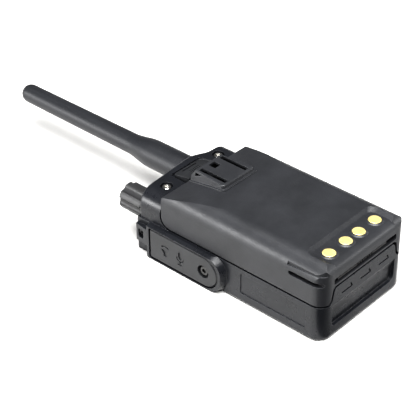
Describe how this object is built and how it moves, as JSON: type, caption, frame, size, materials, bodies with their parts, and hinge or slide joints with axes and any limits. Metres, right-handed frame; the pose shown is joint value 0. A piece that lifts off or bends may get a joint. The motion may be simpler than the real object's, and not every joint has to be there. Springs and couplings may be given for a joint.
{
  "type": "handheld two-way radio",
  "caption": "Handheld two-way radio with whip antenna, notched volume knob, rear battery pack with belt clip dock and charging contacts, and a screwed side jack cover.",
  "frame": {"origin": "On the front face, at the middle of the base end", "axes": "+Y from the base end to the antenna end, +Z from the front face to the back, X across; the jack cover is on the -X side"},
  "size_m": [0.0629, 0.226, 0.0394],
  "materials": {
    "case_plastic": "dark grey moulded plastic, fine satin grain",
    "trim_plastic": "dark grey moulded plastic, slightly smoother than the case",
    "pack_plastic": "dark grey moulded plastic, satin grain",
    "knob_plastic": "near-black moulded plastic",
    "antenna_rubber": "dark grey moulded rubber, faint sheen",
    "button_rubber": "dark grey soft-touch rubber",
    "key_plastic": "mid grey moulded plastic keycaps",
    "seal_rubber": "black rubber",
    "screw_steel": "bright zinc plated steel",
    "black_steel": "black oxide steel",
    "spring_steel": "plain spring steel wire",
    "plated_metal": "nickel plate",
    "brass": "turned brass",
    "contact_gold": "pale gold plate",
    "cast_alloy": "as-cast light alloy",
    "shield_tin": "tin plated sheet",
    "circuit_board": "green solder resist",
    "clear_window": "clear hard-coated window",
    "status_window": "smoked clear light pipe",
    "display_panel": "grey-green reflective display",
    "speaker_metal": "dark painted speaker basket",
    "grille_cloth": "black woven cloth",
    "jack_plastic": "black glossy plastic",
    "insulator": "dark insulating plastic",
    "cell_wrap": "blue shrink wrap",
    "release_plastic": "black moulded plastic"
  },
  "bodies": {
    "radio": {"front_case": "case_plastic", "chassis": "cast_alloy", "chassis_screws": "screw_steel", "rear_screws": "screw_steel", "main_seal": "seal_rubber", "main_board": "circuit_board", "rf_shield": "shield_tin", "key_board": "circuit_board", "key_mat": "seal_rubber", "display_lens": "clear_window", "display_module": "display_panel", "speaker": "speaker_metal", "speaker_cloth": "grille_cloth", "microphone": "plated_metal", "side_seal": "seal_rubber", "side_switches": "insulator", "volume_control": "plated_metal", "volume_nut": "plated_metal", "antenna_connector": "brass", "status_lens": "status_window", "clip_ramp": "trim_plastic", "cover_insert": "brass", "speaker_jack": "jack_plastic", "microphone_jack": "jack_plastic", "terminal_block": "insulator", "battery_terminals": "contact_gold"},
    "volume_knob": {"volume_knob": "knob_plastic", "volume_shaft": "plated_metal"},
    "antenna": {"antenna_sheath": "antenna_rubber", "antenna_radiator": "spring_steel", "antenna_ferrule": "brass"},
    "ptt_button": {"ptt_button": "button_rubber"},
    "side_key_upper": {"side_key_upper": "button_rubber"},
    "side_key_lower": {"side_key_lower": "button_rubber"},
    "key_p0": {"key_p0": "key_plastic"},
    "key_p1": {"key_p1": "key_plastic"},
    "key_down": {"key_down": "key_plastic"},
    "key_up": {"key_up": "key_plastic"},
    "jack_cover": {"jack_cover": "trim_plastic", "jack_cover_screw": "black_steel", "jack_gasket": "seal_rubber"},
    "battery_pack": {"battery_shell": "pack_plastic", "battery_lid": "pack_plastic", "battery_cells": "cell_wrap", "battery_board": "circuit_board", "charging_contacts": "contact_gold", "pack_contacts": "contact_gold", "clip_dock": "pack_plastic", "release_spring": "spring_steel"},
    "release_bar": {"release_bar": "release_plastic"}
  },
  "joints": [
    {"name": "volume_turn", "type": "hinge", "parent": "radio", "child": "volume_knob", "pos_m": [-0.0215, 0.105, 0.019], "axis": [0, -1, 0], "range_deg": [0, 300]},
    {"name": "antenna_turn", "type": "hinge", "parent": "radio", "child": "antenna", "pos_m": [0.0112, 0.105, 0.019], "axis": [0, 1, 0], "range_deg": [0, 1800]},
    {"name": "ptt_press", "type": "slide", "parent": "radio", "child": "ptt_button", "axis": [-1, 0, 0], "range_m": [0, 0.0008], "stiffness_N_per_m": 2000, "springref_m": -0.001},
    {"name": "side_key_upper_press", "type": "slide", "parent": "radio", "child": "side_key_upper", "axis": [-1, 0, 0], "range_m": [0, 0.0006], "stiffness_N_per_m": 2000, "springref_m": -0.0008},
    {"name": "side_key_lower_press", "type": "slide", "parent": "radio", "child": "side_key_lower", "axis": [-1, 0, 0], "range_m": [0, 0.0006], "stiffness_N_per_m": 2000, "springref_m": -0.0008},
    {"name": "key_p0_press", "type": "slide", "parent": "radio", "child": "key_p0", "axis": [0, 0, 1], "range_m": [0, 0.00045], "stiffness_N_per_m": 2000, "springref_m": -0.0006},
    {"name": "key_p1_press", "type": "slide", "parent": "radio", "child": "key_p1", "axis": [0, 0, 1], "range_m": [0, 0.00045], "stiffness_N_per_m": 2000, "springref_m": -0.0006},
    {"name": "key_down_press", "type": "slide", "parent": "radio", "child": "key_down", "axis": [0, 0, 1], "range_m": [0, 0.00045], "stiffness_N_per_m": 2000, "springref_m": -0.0006},
    {"name": "key_up_press", "type": "slide", "parent": "radio", "child": "key_up", "axis": [0, 0, 1], "range_m": [0, 0.00045], "stiffness_N_per_m": 2000, "springref_m": -0.0006},
    {"name": "jack_cover_off", "type": "slide", "parent": "radio", "child": "jack_cover", "axis": [-1, 0, 0], "range_m": [0, 0.014]},
    {"name": "battery_lift", "type": "slide", "parent": "radio", "child": "battery_pack", "axis": [0, 0, 1], "range_m": [0, 0.03]},
    {"name": "release_slide", "type": "slide", "parent": "battery_pack", "child": "release_bar", "axis": [1, 0, 0], "range_m": [0, 0.003], "stiffness_N_per_m": 300, "springref_m": -0.004, "deforming": ["release_spring"]}
  ]
}
